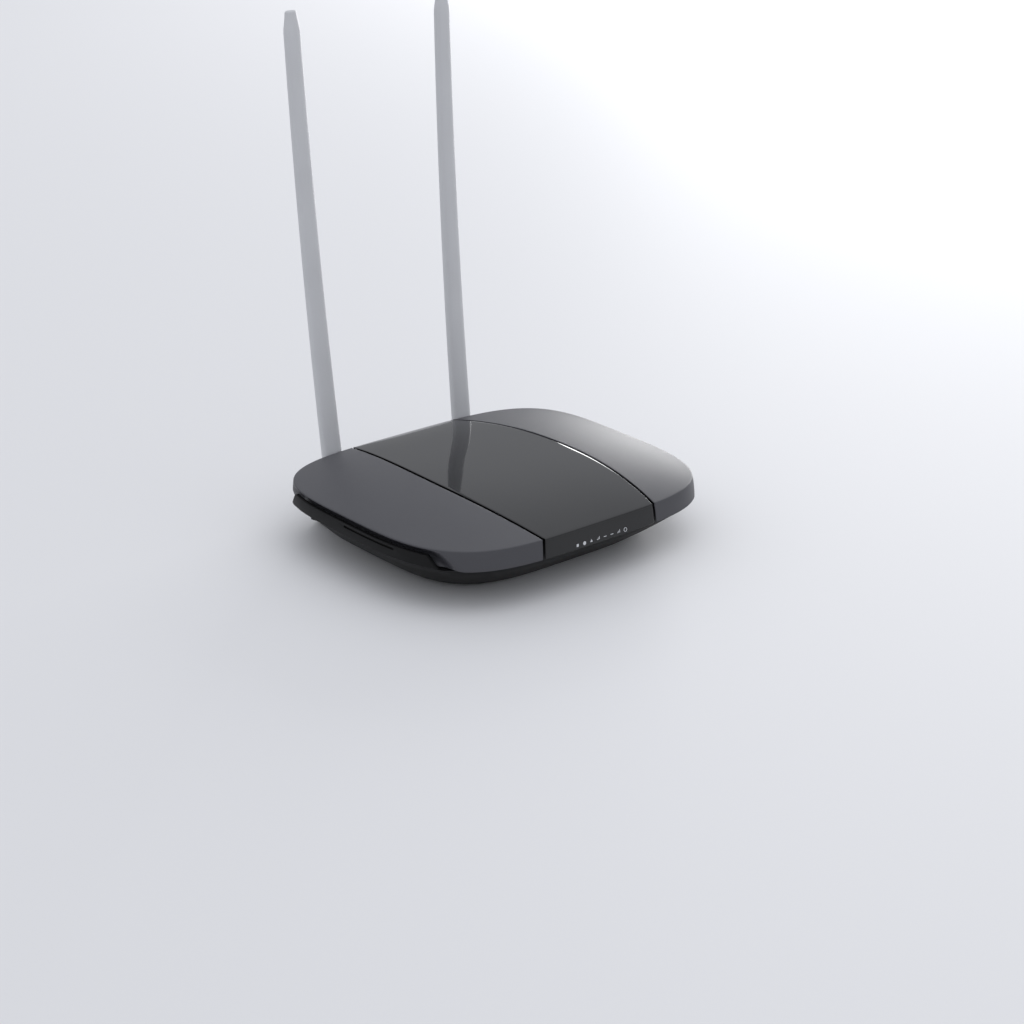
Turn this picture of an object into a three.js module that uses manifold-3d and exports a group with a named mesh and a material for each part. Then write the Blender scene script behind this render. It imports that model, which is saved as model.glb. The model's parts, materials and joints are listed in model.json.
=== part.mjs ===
import * as THREE from "three";
import { mergeVertices } from "three/addons/utils/BufferGeometryUtils.js";
import Module from "manifold-3d";

// A wireless router with two folding antennas. Millimetres: the lamps face -y, the sockets and the
// antennas are at +y, and +z is up. The feet stand on z = 0.

const wasm = await Module();
wasm.setup();

// Body outline, seen from above: a rounded rectangle whose sides all bulge
const bodySideMargin = 27.8; // from the rear panel's end to the body's side
const frontReach = 75.5; // from the widest line to the front edge
const rearReach = 76.5;
const sidePower = 4.0; // a higher power makes a squarer corner
const frontPower = 3.2;
const rearPower = 4.4;
const outlinePoints = 64;

// Levels
const footHeight = 1.9;
const floorBottom = 2;
const floorThickness = 2;
const bandBottom = 20.7; // lower edge of the cover skins
const bandHeight = 9.8;
const bandFlare = 1.6; // the cover's lower edge stands this far outside its crease, but not behind
const domeRise = 8.6;
const domeFrontPower = 2.27;
const domeSidePower = 2.6;

// Walls and fits
const skinThickness = 1.6;
const shellThickness = 1.8;
const hullThickness = 3.2; // measured level, through the sloping wall
const gap = 0.3; // between pieces that are fitted together
const grooveWidth = 1.5;

// The two grooves that part the centre panel from the wings
const seamFront = 36.6; // half their spacing at the front edge
const seamRear = 33.9;
const seamBow = 8.3;

// Side scoops with the raised lip under them
const scoopDepth = 5.2;
const scoopHalfLength = 64;
const scoopSlant = 9; // the scoop's ends slope, so it is longer at the lip
const scoopFade = 9;
const lipHeight = 6.9; // above the hull's rim
const lipThickness = 2.2;
const lipProud = 1.5; // outside the cover's crease
const lipEndSlope = 7;
const lipRoot = 3.4; // how far below the rim the hull starts to swell towards the lip
const sideSlotLength = 35.5;
const sideSlotHeight = 1.2;
const sideSlotDepth = 1.1;
const sideSlotDrop = 1.5; // below the lip's top
const sideSlotY = -13.2;

// Rear panel with the sockets
const panelSetback = 10; // from the rear edge, under the cover
const panelThickness = 2;
const panelMargin = 0.6; // beside the outermost button
const socketAxis = 13.6; // height of the sockets and buttons

// Main board
const boardBottom = 6.4;
const boardThickness = 1.6;
const boardSideMargin = 3.7; // narrower than the panel
const boardNoseHalfWidth = 38;
const boardFrontMargin = 25.5; // from the front edge
const boardStep = 12; // where the board widens

// Sockets
const portPitch = 13.8;
const lanPorts = 4;
const jackDepth = 16.2;
const jackHeight = 11.5;
const portWidth = 11.9;
const portHeight = 6.9;
const portDepth = 13;
const latchWidths = [6.2, 3.4];
const latchStep = 1.3;
const powerJackWidth = 9;
const powerJackHole = 3.2; // radius
const powerPin = 1;

// Buttons
const buttonSize = 6;
const buttonTravel = 2.2;
const buttonProud = 1.9;
const buttonSpacing = 1.5;

// Antennas
const swivelRadius = 5.8;
const socketMargin = 3.5; // between the sockets and a swivel
const jackMargin = 3.4; // between a swivel and the power jack
const buttonMargin = 2; // between a swivel and the power button
const swivelBarrel = 3.4;
const swivelPlate = 2.2;
const hingeReach = 11.7; // from the panel's face to the hinge pin
const hingePin = 1.5;
const pinClearance = 0.15;
const eyeRadius = 4.2;
const earRadius = 3.9;
const eyeWidth = 4.6;
const earThickness = 2;
const antennaLean = THREE.MathUtils.degToRad(9.3);
const antennaSplay = THREE.MathUtils.degToRad(1.05);
const antennaCurve = THREE.MathUtils.degToRad(4.5); // how far the blade straightens to its tip
const sleeveStart = 9; // along the blade, from the hinge pin
const antennaLength = 241.5;
const bladeRoot = { width: 11.4, thickness: 6.9 };
const bladeTip = { width: 8.8, thickness: 5.5 };
const tipTaper = 11;
const bladeWall = 1.5;
const bladeSides = 16;

// Lamps
const lampCount = 8;
const lampPitch = 4.5;
const lampRise = 1.9; // above the cover's lower edge
const lampHole = 0.75;

// Fasteners
const footSideMargin = 39.5; // from the body's side
const rearFootMargin = 8; // from the main board's side
const footFrontMargin = 43.5;
const footRearMargin = 36.5;
const footRadius = 5.5;
const screwShank = 1.4;
const screwHead = 2.7;
const bossRadius = 4.3;
const keyholeSpacing = 68;
const keyholeY = 6;
const keyholeHead = 4;
const keyholeSlot = 2.2;
const keyholeLength = 9;
const ventCount = 12;
const ventPitch = 5;
const ventLength = 22;
const ventWidth = 2;
const ventY = -30;

// What follows from these
const crease = bandBottom + bandHeight;
const floorTop = floorBottom + floorThickness;
const boardTop = boardBottom + boardThickness;
const panelFace = rearReach - panelSetback;
const panelInner = panelFace - panelThickness;
const portsHalf = ((lanPorts + 1) / 2) * portPitch;
const antennaX = portsHalf + swivelRadius + socketMargin;
const powerJackX = antennaX + swivelRadius + jackMargin + powerJackWidth / 2;
const powerButtonX = -(antennaX + swivelRadius + buttonMargin + buttonSize / 2);
const resetButtonX = powerButtonX - buttonSize - buttonSpacing;
const panelHalfWidth = buttonSize / 2 + panelMargin - resetButtonX;
const half = panelHalfWidth + bodySideMargin; // of the body's width
const boardHalfWidth = panelHalfWidth - boardSideMargin;
const boardFront = boardFrontMargin - frontReach;
const lampHeight = bandBottom + lampRise;
const lipHalfLength = scoopHalfLength - scoopFade - lipEndSlope;
const frontFeetX = half - footSideMargin;
const rearFeetX = boardHalfWidth - rearFootMargin;
const feetFront = footFrontMargin - frontReach;
const feetRear = rearReach - footRearMargin;
const boardScrews = [
  [5 - boardNoseHalfWidth, boardFront + 10],
  [boardNoseHalfWidth - 5, boardFront + 10],
  [-30, panelFace - 22.5],
  [30, panelFace - 22.5],
];
const keyholes = [
  [-keyholeSpacing / 2, keyholeY],
  [keyholeSpacing / 2, keyholeY],
];
const tall = 200; // longer than any piece that is cut with it

// Materials

function material(color, roughness, metalness = 0) {
  return new THREE.MeshStandardMaterial({ color, roughness, metalness });
}

const satinBlack = material(0x2b2b30, 0.45);
const glossBlack = material(0x0c0c0e, 0.08);
const innerBlack = material(0x101012, 0.6);
const mattBlack = material(0x151517, 0.7);
const rubber = material(0x1b1b1c, 0.9);
const antennaGrey = material(0x9a9b9f, 0.5);
const hingeGrey = material(0x6d6e72, 0.5);
const steel = material(0xb9bbbd, 0.35, 1);
const brass = material(0xb08d4a, 0.35, 1);
const boardGreen = material(0x14492c, 0.5);
const chipBlack = material(0x1a1a1b, 0.55);
const aluminium = material(0xa8abae, 0.4, 1);
const socketYellow = material(0xd9b21f, 0.45);
const socketBlue = material(0x2057a8, 0.45);
const clearPlastic = material(0xe9eef2, 0.15);
const cableGrey = material(0x55565a, 0.5);
const labelSilver = material(0xc7c9cb, 0.5);
const buttonGrey = material(0x3a3a3e, 0.45);

// Solids

function fromTriangles(positions, triangles) {
  return new wasm.Manifold(
    new wasm.Mesh({
      numProp: 3,
      vertProperties: new Float32Array(positions),
      triVerts: new Uint32Array(triangles),
    }),
  );
}

function solid(geometry) {
  const bare = new THREE.BufferGeometry();
  const plain = geometry.index ? geometry.toNonIndexed() : geometry;
  bare.setAttribute("position", plain.getAttribute("position").clone());
  const merged = mergeVertices(bare, 1e-4);
  return fromTriangles(merged.attributes.position.array, merged.index.array);
}

function part(name, shape, look) {
  const surface = shape.getMesh();
  const geometry = new THREE.BufferGeometry();
  geometry.setAttribute("position", new THREE.BufferAttribute(surface.vertProperties, 3));
  geometry.setIndex(new THREE.BufferAttribute(surface.triVerts, 1));
  geometry.computeVertexNormals();
  const mesh = new THREE.Mesh(geometry, look);
  mesh.name = name;
  return mesh;
}

// A box given by its lowest and highest corner
function box(low, high) {
  const size = high.map((value, axis) => value - low[axis]);
  const middle = high.map((value, axis) => (value + low[axis]) / 2);
  return solid(new THREE.BoxGeometry(...size).translate(...middle));
}

function rodZ(x, y, radius, low, high, sides = 24) {
  const geometry = new THREE.CylinderGeometry(radius, radius, high - low, sides);
  return solid(geometry.rotateX(Math.PI / 2).translate(x, y, (low + high) / 2));
}

function rodY(x, z, radius, low, high, sides = 16) {
  const geometry = new THREE.CylinderGeometry(radius, radius, high - low, sides);
  return solid(geometry.translate(x, (low + high) / 2, z));
}

function rodX(y, z, radius, low, high, sides = 16) {
  const geometry = new THREE.CylinderGeometry(radius, radius, high - low, sides);
  return solid(geometry.rotateZ(Math.PI / 2).translate((low + high) / 2, y, z));
}

// A flat outline drawn in x and y, raised from one level to another
function slab(points, low, high) {
  const shape = new THREE.Shape(points.map(([x, y]) => new THREE.Vector2(x, y)));
  const geometry = new THREE.ExtrudeGeometry(shape, { depth: high - low, bevelEnabled: false });
  return solid(geometry.translate(0, 0, low));
}

// Skins a stack of rings, lowest first, each with the same number of points, and closes both ends
function loft(rings) {
  const count = rings[0].length;
  const positions = rings.flat(2);
  const triangles = [];
  for (let level = 0; level + 1 < rings.length; level++) {
    for (let i = 0; i < count; i++) {
      const a = level * count + i;
      const b = level * count + ((i + 1) % count);
      triangles.push(a, b, b + count, a, b + count, a + count);
    }
  }
  const closeEnd = (ring, first, upwards) => {
    const centre = positions.length / 3;
    for (let axis = 0; axis < 3; axis++) {
      positions.push(ring.reduce((sum, point) => sum + point[axis], 0) / count);
    }
    for (let i = 0; i < count; i++) {
      const next = (i + 1) % count;
      triangles.push(centre, first + (upwards ? i : next), first + (upwards ? next : i));
    }
  };
  closeEnd(rings[0], 0, false);
  closeEnd(rings.at(-1), (rings.length - 1) * count, true);
  return fromTriangles(positions, triangles);
}

function smooth(value) {
  const t = Math.min(Math.max(value, 0), 1);
  return t * t * (3 - 2 * t);
}

// The body's outline

const reachAt = (y) => (y < 0 ? frontReach : rearReach);
const powerAt = (y) => (y < 0 ? frontPower : rearPower);

// Points of the outline as shares of its half width and reach, anticlockwise from the right
const outline = Array.from({ length: outlinePoints }, (_, index) => {
  const angle = (index / outlinePoints) * 2 * Math.PI;
  const along = [Math.cos(angle), Math.sin(angle)];
  let low = 0.5;
  let high = 1.5;
  for (let step = 0; step < 40; step++) {
    const middle = (low + high) / 2;
    const across = Math.abs(middle * along[0]) ** sidePower;
    const deep = Math.abs(middle * along[1]) ** powerAt(along[1]);
    if (across + deep < 1) low = middle;
    else high = middle;
  }
  return { x: low * along[0], y: low * along[1] };
});

// The y of the outline's front (side -1) or rear (side 1) edge at a given x
function edgeAt(x, side) {
  const share = 1 - Math.min(Math.abs(x) / half, 1) ** sidePower;
  return side * reachAt(side) * share ** (1 / powerAt(side));
}

function domeAt(x, y) {
  const edge = edgeAt(x, Math.sign(y) || 1);
  const across = 1 - Math.min(Math.abs(x) / half, 1) ** domeSidePower;
  const along = 1 - Math.min(Math.abs(y / edge), 1) ** domeFrontPower;
  return domeRise * across * along;
}

function outlineRing(height, insetAt) {
  return outline.map((share) => {
    const inset = insetAt(share);
    return [share.x * (half - inset), share.y * (reachAt(share.y) - inset), height];
  });
}

function domeRing(scale, drop) {
  return outline.map((share) => {
    const x = share.x * half * scale;
    const y = share.y * reachAt(share.y) * scale;
    return [x, y, crease - drop + domeAt(x, y)];
  });
}

// How much of the scoop there is at a point of the outline: 1 along the side, 0 past its ends
function scoopShare(share, rise) {
  if (Math.abs(share.x) < 0.5) return 0;
  const along = Math.abs(share.y) * reachAt(share.y);
  return smooth((scoopHalfLength - scoopSlant * rise - along) / scoopFade);
}

function flareShare(share) {
  return 1 - smooth((share.y - 0.55) / 0.35);
}

// Each level of the band has its rise, its flare and its depth of scoop, as shares of the whole
const bandLevels = [
  { rise: 0, flare: 1, scoop: 0.84 },
  { rise: 0.22, flare: 0.78, scoop: 1 },
  { rise: 0.52, flare: 0.5, scoop: 0.96 },
  { rise: 0.76, flare: 0.25, scoop: 0.6 },
  { rise: 0.88, flare: 0.09, scoop: 0.12 },
  { rise: 0.95, flare: 0, scoop: 0 },
];
const domeScales = [0.993, 0.955, 0.86, 0.71, 0.5, 0.27];

// The cover's outer form, from its lower edge over the dome
function coverForm() {
  const band = bandLevels.map((level) => {
    const scoop = (share) => scoopDepth * level.scoop * scoopShare(share, level.rise);
    const height = bandBottom + level.rise * bandHeight;
    const flare = (share) => bandFlare * level.flare * flareShare(share);
    return outlineRing(height, (share) => scoop(share) - flare(share));
  });
  return loft([...band, ...domeScales.map((scale) => domeRing(scale, 0))]);
}

// The same form without its skin: drawn in by a depth, with plain walls behind the scoops, and
// running on below the cover's lower edge
function coreForm(depth, below = 0) {
  const walls = [bandBottom - below, crease - depth - 0.8].map((height) => {
    const rise = (height - bandBottom) / bandHeight;
    const drawIn = (share) => 0.3 * rise - bandFlare * (1 - rise) * flareShare(share);
    const wall = (share) => depth + drawIn(share) + scoopDepth * scoopShare(share, 0);
    return outlineRing(height, wall);
  });
  const shrink = 1 - depth / half;
  const dome = domeScales.slice(1).map((scale) => domeRing(scale * shrink, depth));
  return loft([...walls, ...dome]);
}

// Covers

function seamX(share) {
  return seamFront + (seamRear - seamFront) * share + seamBow * 4 * share * (1 - share);
}

// One groove line, from past the front edge to past the rear edge, moved sideways by a shift
function seamLine(side, shift) {
  const front = edgeAt(seamFront, -1);
  const rear = edgeAt(seamRear, 1);
  return Array.from({ length: 23 }, (_, index) => {
    const share = -0.05 + (1.1 * index) / 22;
    return [side * (seamX(share) + shift), front + (rear - front) * share];
  });
}

function wingBlank(side) {
  const line = seamLine(side, grooveWidth / 2);
  const points = [[side * tall, line[0][1]], ...line, [side * tall, line.at(-1)[1]]];
  return slab(points, 0, tall);
}

function centreBlank() {
  const right = seamLine(1, -grooveWidth / 2);
  const left = seamLine(-1, -grooveWidth / 2);
  return slab([...right, ...left.reverse()], 0, tall);
}

const lampXs = Array.from(
  { length: lampCount },
  (_, index) => (index - (lampCount - 1) / 2) * lampPitch,
);
const lampRowHalf = ((lampCount - 1) / 2) * lampPitch;

function lampHoles(radius, front, back) {
  const holes = lampXs.map((x) => rodY(x, lampHeight, radius, front, back, 8));
  return wasm.Manifold.union(holes);
}

function covers() {
  const skin = coverForm().subtract(coreForm(skinThickness, 2));
  const holes = lampHoles(lampHole, -frontReach - bandFlare - 2, -frontReach + 6);
  return [
    part("left_wing", skin.intersect(wingBlank(-1)), satinBlack),
    part("centre_panel", skin.intersect(centreBlank()).subtract(holes), glossBlack),
    part("right_wing", skin.intersect(wingBlank(1)), satinBlack),
  ];
}

const shellDepth = skinThickness + gap;
const windowHalf = { x: lampRowHalf + 2.6, z: 2.2 };
const caseScrews = [
  [-frontFeetX, feetFront],
  [frontFeetX, feetFront],
  [-rearFeetX, feetRear],
  [rearFeetX, feetRear],
];
const bossFoot = floorBottom + 5.2; // top of the hull's screw bosses

function topShell() {
  const inner = coreForm(shellDepth + shellThickness, 2);
  let shell = coreForm(shellDepth).subtract(inner);
  shell = shell.subtract(
    box(
      [-windowHalf.x, -frontReach, lampHeight - windowHalf.z],
      [windowHalf.x, -frontReach + 8, lampHeight + windowHalf.z],
    ),
  );
  const keep = coreForm(shellDepth + 0.4, tall);
  for (const [x, y] of caseScrews) {
    const boss = rodZ(x, y, bossRadius, bossFoot + gap, tall / 2, 16).intersect(keep);
    shell = shell.add(boss);
    shell = shell.subtract(rodZ(x, y, screwShank + gap, 0, bossFoot + 10, 12));
  }
  return part("top_shell", shell, innerBlack);
}

// Hull: each level has a height, and its draw-in along the front and along the sides
const rimHeight = bandBottom - gap;
const hullRise = rimHeight - floorBottom;
const hullLevels = [
  { height: floorBottom, front: 24, side: 24 },
  { height: floorBottom + 1, front: 21, side: 21 },
  { height: floorBottom + 0.35 * hullRise, front: 13.5, side: 13 },
  { height: floorBottom + 0.65 * hullRise, front: 6.5, side: 7.5 },
  { height: rimHeight - lipRoot, front: 3, side: 4.2 },
  { height: rimHeight, front: 0.8, side: 1.2 - lipProud },
];

function sideShare(share) {
  if (Math.abs(share.x) < 0.5) return 0;
  const along = Math.abs(share.y) * reachAt(share.y);
  return smooth((scoopHalfLength - along) / scoopFade);
}

// The rear wall stands upright and flat around the panel, and turns into the sloping sides at the
// corners
function rearShare(share) {
  return share.y < 0 ? 0 : smooth((0.9 - Math.abs(share.x)) / 0.14);
}

const rearInset = 3;

function hullForm(depth, low, high) {
  const rear = panelFace + gap - depth;
  const rings = hullLevels.map((level) => {
    const ring = outlineRing(Math.max(level.height, low), (share) => {
      const side = sideShare(share);
      const sloped = level.front + (level.side - level.front) * side;
      const upright = Math.min(sloped, rearInset);
      return depth + sloped + (upright - sloped) * rearShare(share);
    });
    return ring.map(([x, y, z]) => [x, Math.min(y, rear), z]);
  });
  if (high) rings.push(rings.at(-1).map(([x, y]) => [x, y, high]));
  return loft(rings.filter((ring, index) => !index || ring[0][2] > rings[index - 1][0][2]));
}

// The raised lip along each side, inside which the cover's scoop ends, with a slot in its face
function sideLip() {
  const low = rimHeight - 0.6;
  const high = rimHeight + lipHeight;
  const ring = (height, inset) => outlineRing(height, () => inset - lipProud);
  const plain = (inset) => loft([ring(low - 1, inset), ring(high + 1, inset)]);
  const outer = loft([ring(low, 2), ring(rimHeight + 1.1, 0), ring(high, 0.2)]);
  const lip = outer.subtract(plain(lipThickness)).intersect(slopedEnds(low, high));
  const reach = half + lipProud + 1;
  const slotHeight = high - sideSlotDrop;
  const ends = [sideSlotY - sideSlotLength / 2, sideSlotY + sideSlotLength / 2];
  let slot = box(
    [-reach, ends[0], slotHeight - sideSlotHeight / 2],
    [reach, ends[1], slotHeight + sideSlotHeight / 2],
  );
  for (const end of ends) {
    slot = slot.add(rodX(end, slotHeight, sideSlotHeight / 2, -reach, reach, 12));
  }
  return lip.subtract(slot.subtract(plain(sideSlotDepth)));
}

// A bar across the body whose ends slope down from the lip's top
function slopedEnds(low, high) {
  const section = new THREE.Shape([
    new THREE.Vector2(-lipHalfLength - lipEndSlope, low - 1),
    new THREE.Vector2(lipHalfLength + lipEndSlope, low - 1),
    new THREE.Vector2(lipHalfLength, high + 1),
    new THREE.Vector2(-lipHalfLength, high + 1),
  ]);
  const geometry = new THREE.ExtrudeGeometry(section, { depth: 2 * tall, bevelEnabled: false });
  geometry.translate(0, 0, -tall);
  const turn = new THREE.Matrix4().makeBasis(
    new THREE.Vector3(0, 1, 0),
    new THREE.Vector3(0, 0, 1),
    new THREE.Vector3(1, 0, 0),
  );
  return solid(geometry.applyMatrix4(turn));
}

function keyhole([x, y]) {
  const low = floorBottom - 1;
  const high = floorTop + 1;
  const slot = box([x - keyholeSlot, y, low], [x + keyholeSlot, y + keyholeLength, high]);
  const end = rodZ(x, y + keyholeLength, keyholeSlot, low, high, 16);
  return rodZ(x, y, keyholeHead, low, high, 20).add(slot).add(end);
}

function bottomCase() {
  const inner = hullForm(hullThickness, floorTop, rimHeight + 2);
  let hull = hullForm(0, floorBottom).subtract(inner);
  hull = hull.add(sideLip());
  const panelWindow = panelHalfWidth + gap;
  hull = hull.subtract(
    box([-panelWindow, panelInner - 3, floorTop + 0.3], [panelWindow, rearReach + 5, tall]),
  );
  for (const [x, y] of caseScrews) {
    hull = hull.add(rodZ(x, y, bossRadius, floorBottom + 1, bossFoot, 16));
    hull = hull.subtract(rodZ(x, y, screwShank + gap, 0, tall, 12));
    hull = hull.subtract(rodZ(x, y, screwHead + gap, 0, bossFoot - 2, 16));
  }
  for (const [x, y] of boardScrews) {
    hull = hull.add(rodZ(x, y, 3, floorTop - 0.5, boardBottom - 0.1, 12));
    hull = hull.subtract(rodZ(x, y, screwShank - 0.2, floorTop - 0.4, tall, 12));
  }
  hull = wasm.Manifold.difference([hull, ...keyholes.map(keyhole)]);
  const ventStart = (-(ventCount - 1) / 2) * ventPitch;
  for (let index = 0; index < ventCount; index++) {
    const x = ventStart + index * ventPitch;
    hull = hull.subtract(
      box(
        [x - ventWidth / 2, ventY - ventLength / 2, 0],
        [x + ventWidth / 2, ventY + ventLength / 2, floorTop + 0.5],
      ),
    );
  }
  return part("bottom_case", hull, mattBlack);
}

// Sockets and the panel around them

const jackFoot = boardTop + 0.1;
const lanStart = -portsHalf;
const portXs = Array.from({ length: lanPorts + 1 }, (_, index) => lanStart + (index + 0.5) * portPitch);
const lanEdges = [lanStart, lanStart + lanPorts * portPitch - gap];
const wanEdges = [lanStart + lanPorts * portPitch + gap, lanStart + (lanPorts + 1) * portPitch];
const portFloor = socketAxis - portHeight / 2 + 0.6;

function portCavity(x) {
  const front = panelFace + 2;
  const back = panelFace - portDepth;
  let cavity = box(
    [x - portWidth / 2, back, portFloor],
    [x + portWidth / 2, front, portFloor + portHeight],
  );
  latchWidths.forEach((width, index) => {
    cavity = cavity.add(
      box(
        [x - width / 2, back, portFloor - latchStep * (index + 1)],
        [x + width / 2, front, portFloor + 1],
      ),
    );
  });
  return cavity;
}

function networkJack(name, edges, ports, look) {
  let body = box(
    [edges[0], panelFace - jackDepth, jackFoot],
    [edges[1], panelFace - 0.1, jackFoot + jackHeight],
  );
  for (const x of ports) body = body.subtract(portCavity(x));
  return part(name, body, look);
}

function powerJack() {
  const low = jackFoot;
  const high = socketAxis + powerJackWidth / 2;
  const body = box(
    [powerJackX - powerJackWidth / 2, panelFace - 12, low],
    [powerJackX + powerJackWidth / 2, panelFace - 0.1, high],
  );
  const bore = rodY(powerJackX, socketAxis, powerJackHole, panelFace - 10, panelFace + 1);
  const pin = rodY(powerJackX, socketAxis, powerPin, panelFace - 9.8, panelFace - 1.5, 12);
  return [
    part("power_jack", body.subtract(bore), chipBlack),
    part("power_jack_pin", pin, steel),
  ];
}

const buttonXs = [powerButtonX, resetButtonX];
const buttonBack = panelInner - 3.4;

function button(name, x) {
  const reach = buttonSize / 2;
  const cap = box(
    [x - reach, buttonBack, socketAxis - reach],
    [x + reach, panelFace + buttonProud, socketAxis + reach],
  );
  const flange = box(
    [x - reach - 0.6, buttonBack, socketAxis - reach - 1],
    [x + reach + 0.6, panelInner - gap, socketAxis + reach + 1],
  );
  return part(name, cap.add(flange), buttonGrey);
}

function buttonSwitch(name, x) {
  const front = buttonBack - buttonTravel - gap;
  const body = box([x - 3, front - 9, jackFoot], [x + 3, front - 2, socketAxis + 3]);
  const plunger = rodY(x, socketAxis, 1.3, front - 4, front, 12);
  return part(name, body.add(plunger), chipBlack);
}

function rearPanel() {
  const plateFoot = floorTop + 0.6;
  let plate = box(
    [-panelHalfWidth, panelInner, plateFoot],
    [panelHalfWidth, panelFace, rimHeight],
  );
  const through = (low, high) => box([low[0], 0, low[1]], [high[0], tall, high[1]]);
  for (const edges of [lanEdges, wanEdges]) {
    plate = plate.subtract(
      through([edges[0] - gap / 2, jackFoot - gap], [edges[1] + gap / 2, jackFoot + jackHeight + gap]),
    );
  }
  const jackHalf = powerJackWidth / 2 + gap;
  plate = plate.subtract(
    through([powerJackX - jackHalf, jackFoot - gap], [powerJackX + jackHalf, socketAxis + jackHalf]),
  );
  const buttonHalf = buttonSize / 2 + gap;
  for (const x of buttonXs) {
    plate = plate.subtract(
      through([x - buttonHalf, socketAxis - buttonHalf], [x + buttonHalf, socketAxis + buttonHalf]),
    );
  }
  for (const side of [-1, 1]) {
    const hole = rodY(side * antennaX, socketAxis, swivelBarrel + gap, 0, tall);
    plate = plate.subtract(hole);
  }
  return part("rear_panel", plate, mattBlack);
}

// Main board and what is soldered to it

function mainBoard() {
  const back = panelInner - gap;
  const points = [
    [-boardNoseHalfWidth, boardFront],
    [boardNoseHalfWidth, boardFront],
    [boardNoseHalfWidth, boardStep],
    [boardHalfWidth, boardStep],
    [boardHalfWidth, back],
    [-boardHalfWidth, back],
    [-boardHalfWidth, boardStep],
    [-boardNoseHalfWidth, boardStep],
  ];
  let board = slab(points, boardBottom, boardTop);
  for (const [x, y] of boardScrews) {
    board = board.subtract(rodZ(x, y, screwShank + gap, 0, tall, 12));
  }
  for (const side of [-1, 1]) {
    board = board.subtract(rodZ(side * rearFeetX, feetRear, bossRadius + gap, 0, tall, 16));
  }
  return part("main_board", board, boardGreen);
}

function onBoard(name, [x, y], [width, depth, height], look, lift = 0.1) {
  const low = boardTop + lift;
  const shape = box([x - width / 2, y - depth / 2, low], [x + width / 2, y + depth / 2, low + height]);
  return part(name, shape, look);
}

const processorPlace = [-6, 2];
const processorHeight = 1.4;

function heatSink() {
  const [x, y] = processorPlace;
  const size = 24;
  const low = boardTop + processorHeight + 0.2;
  let sink = box([x - size / 2, y - size / 2, low], [x + size / 2, y + size / 2, low + 2]);
  const fins = 7;
  const finPitch = (size - 1.2) / (fins - 1);
  for (let index = 0; index < fins; index++) {
    const left = x - size / 2 + index * finPitch;
    sink = sink.add(box([left, y - size / 2, low + 1], [left + 1.2, y + size / 2, low + 8]));
  }
  return part("heat_sink", sink, aluminium);
}

function capacitor(name, x, y, radius, height) {
  return part(name, rodZ(x, y, radius, boardTop + 0.1, boardTop + height, 20), innerBlack);
}

// The lamps stand on the board's front edge, and a clear guide carries their light to the panel
const lampRowY = boardFront + 4;

function lampRow() {
  const low = boardTop + 0.1;
  let row = box([-lampRowHalf - 2, lampRowY - 1.6, low], [lampRowHalf + 2, lampRowY + 1.6, low + 0.8]);
  for (const x of lampXs) {
    row = row.add(box([x - 0.8, lampRowY - 0.6, low], [x + 0.8, lampRowY + 0.6, low + 1.7]));
  }
  return part("lamp_row", row, clearPlastic);
}

function lightPipe() {
  const front = -frontReach + shellDepth + gap + 0.2;
  const low = lampHeight - 1.4;
  const high = lampHeight + 1.4;
  const width = lampRowHalf + 1.8;
  const foot = boardTop + 2.2;
  const bar = box([-width, front, low], [width, front + 3, high]);
  const shelf = box([-width, front + 2, lampHeight - 0.8], [width, lampRowY + 0.8, lampHeight + 0.8]);
  const leg = box([-width, lampRowY - 0.8, foot], [width, lampRowY + 0.8, lampHeight + 0.8]);
  const tips = lampHoles(lampHole - 0.25, -frontReach - bandFlare / 2, front + 1);
  return part("light_pipe", bar.add(shelf).add(leg).add(tips), clearPlastic);
}

// Fasteners and feet

function panHead(name, x, y, headLow, shankLow, shankHigh, headDown, look) {
  const head = rodZ(x, y, screwHead, headLow, headLow + 1.6, 16);
  const recessLow = headDown ? headLow - 1 : headLow + 0.7;
  const recessHigh = headDown ? headLow + 0.9 : headLow + 3;
  const arm = 1.7;
  const blade = 0.4;
  const cross = box([x - arm, y - blade, recessLow], [x + arm, y + blade, recessHigh]).add(
    box([x - blade, y - arm, recessLow], [x + blade, y + arm, recessHigh]),
  );
  const shank = rodZ(x, y, screwShank, shankLow, shankHigh, 12);
  return part(name, head.add(shank).subtract(cross), look);
}

function corner([x, y]) {
  return (y < 0 ? "front" : "rear") + (x < 0 ? "_left" : "_right");
}

function feetAndScrews() {
  const pieces = [];
  for (const place of caseScrews) {
    const [x, y] = place;
    pieces.push(part("foot_" + corner(place), rodZ(x, y, footRadius, 0, footHeight, 24), rubber));
    const headLow = bossFoot - 2 - gap - 1.6;
    const name = "case_screw_" + corner(place);
    pieces.push(panHead(name, x, y, headLow, headLow + 0.8, bossFoot + 8.5, true, steel));
  }
  for (const place of boardScrews) {
    const [x, y] = place;
    const headLow = boardTop + 0.1;
    const hole = floorTop + 0.2;
    const shape = rodZ(x, y, screwShank - 0.5, hole, headLow + 0.8, 12);
    const head = rodZ(x, y, screwHead - 0.2, headLow, headLow + 1.4, 16);
    pieces.push(part("board_screw_" + corner(place), head.add(shape), steel));
  }
  return pieces;
}

// Antennas. Each is drawn upright on its hinge pin, then leaned and splayed.

// The blade's middle line, which straightens towards the tip
function bladePoint(length) {
  const turn = (antennaCurve * length) / antennaLength;
  return new THREE.Vector3(0, -(length * turn) / 2, length);
}

function bladeSize(length) {
  const share = (length - sleeveStart) / (antennaLength - sleeveStart);
  let width = bladeRoot.width + (bladeTip.width - bladeRoot.width) * share;
  let thickness = bladeRoot.thickness + (bladeTip.thickness - bladeRoot.thickness) * share;
  const end = Math.max(0, 1 - (antennaLength - length) / tipTaper);
  width *= 1 - 0.34 * end;
  thickness *= 1 - 0.16 * end;
  return [width, thickness];
}

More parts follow.
